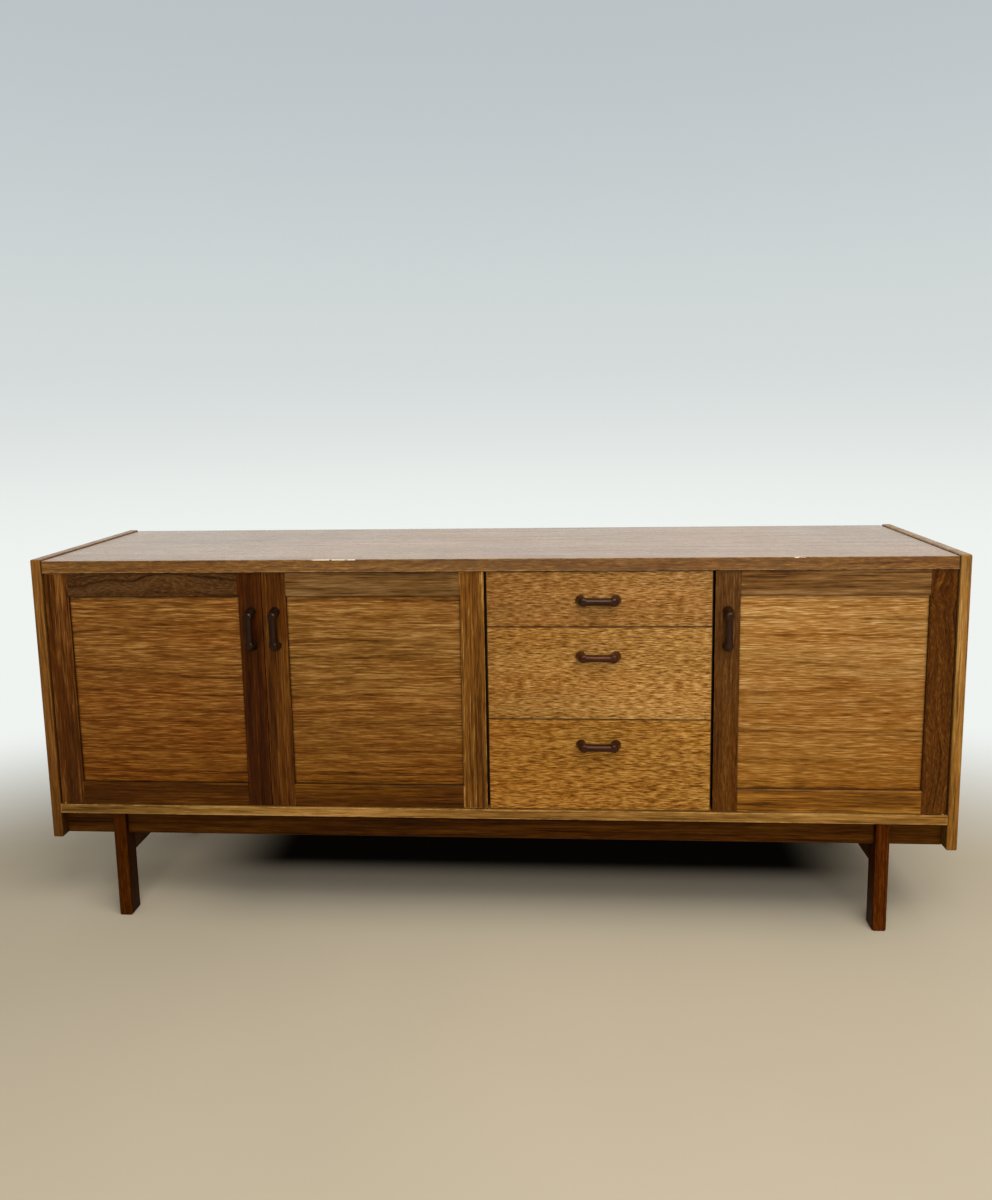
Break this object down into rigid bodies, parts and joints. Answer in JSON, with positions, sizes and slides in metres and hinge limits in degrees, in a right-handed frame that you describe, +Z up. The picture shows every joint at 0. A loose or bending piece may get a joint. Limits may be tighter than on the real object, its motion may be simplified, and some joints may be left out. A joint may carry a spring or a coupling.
{
  "type": "sideboard",
  "caption": "Long teak sideboard with framed cupboard doors on pivots, drawers with bridge handles and a railed underframe on square legs.",
  "frame": {"origin": "on the floor, under the middle of the whole piece with its handles", "axes": "+X to the right as seen from the front, +Y to the back, +Z up"},
  "size_m": [1.9, 0.483, 0.794],
  "materials": {
    "top_teak": "satin",
    "case_teak": "satin",
    "door_teak": "satin",
    "drawer_teak": "satin",
    "underframe_teak": "satin",
    "rosewood": "satin",
    "beech": "matte",
    "plywood": "matte",
    "brass": "satin"
  },
  "bodies": {
    "case": {"top_panel": "top_teak", "left_side_panel": "case_teak", "right_side_panel": "case_teak", "bottom_panel": "case_teak", "back_panel": "plywood", "left_partition": "case_teak", "right_partition": "case_teak", "left_bay_shelf": "case_teak", "front_rail": "underframe_teak", "rear_rail": "underframe_teak", "left_cross_rail": "underframe_teak", "right_cross_rail": "underframe_teak", "front_left_leg": "underframe_teak", "front_right_leg": "underframe_teak", "rear_left_leg": "underframe_teak", "rear_right_leg": "underframe_teak", "left_runner_rack": "beech", "right_runner_rack": "beech", "left_door_lower_pivot": "brass", "left_door_upper_pivot": "brass", "middle_door_lower_pivot": "brass", "middle_door_upper_pivot": "brass", "right_door_lower_pivot": "brass", "right_door_upper_pivot": "brass"},
    "left_door": {"left_door_hinge_stile": "door_teak", "left_door_lock_stile": "door_teak", "left_door_top_rail": "door_teak", "left_door_bottom_rail": "door_teak", "left_door_panel": "door_teak", "left_door_handle": "rosewood"},
    "middle_door": {"middle_door_hinge_stile": "door_teak", "middle_door_lock_stile": "door_teak", "middle_door_top_rail": "door_teak", "middle_door_bottom_rail": "door_teak", "middle_door_panel": "door_teak", "middle_door_handle": "rosewood"},
    "right_door": {"right_door_hinge_stile": "door_teak", "right_door_lock_stile": "door_teak", "right_door_top_rail": "door_teak", "right_door_bottom_rail": "door_teak", "right_door_panel": "door_teak", "right_door_handle": "rosewood"},
    "top_drawer": {"top_drawer_front": "drawer_teak", "top_drawer_left_side": "beech", "top_drawer_right_side": "beech", "top_drawer_back": "beech", "top_drawer_bottom": "plywood", "top_drawer_handle": "rosewood"},
    "middle_drawer": {"middle_drawer_front": "drawer_teak", "middle_drawer_left_side": "beech", "middle_drawer_right_side": "beech", "middle_drawer_back": "beech", "middle_drawer_bottom": "plywood", "middle_drawer_handle": "rosewood"},
    "bottom_drawer": {"bottom_drawer_front": "drawer_teak", "bottom_drawer_left_side": "beech", "bottom_drawer_right_side": "beech", "bottom_drawer_back": "beech", "bottom_drawer_bottom": "plywood", "bottom_drawer_handle": "rosewood"}
  },
  "joints": [
    {"name": "left_door_swing", "type": "hinge", "parent": "case", "child": "left_door", "pos_m": [-0.9212, -0.2085, 0.2594], "axis": [0, 0, -1], "range_deg": [0, 95]},
    {"name": "middle_door_swing", "type": "hinge", "parent": "case", "child": "middle_door", "pos_m": [-0.0085, -0.2085, 0.2594], "axis": [0, 0, 1], "range_deg": [0, 90]},
    {"name": "right_door_swing", "type": "hinge", "parent": "case", "child": "right_door", "pos_m": [0.9212, -0.2085, 0.2594], "axis": [0, 0, 1], "range_deg": [0, 95]},
    {"name": "top_drawer_slide", "type": "slide", "parent": "case", "child": "top_drawer", "axis": [0, -1, 0], "range_m": [0, 0.3]},
    {"name": "middle_drawer_slide", "type": "slide", "parent": "case", "child": "middle_drawer", "axis": [0, -1, 0], "range_m": [0, 0.3]},
    {"name": "bottom_drawer_slide", "type": "slide", "parent": "case", "child": "bottom_drawer", "axis": [0, -1, 0], "range_m": [0, 0.3]}
  ]
}
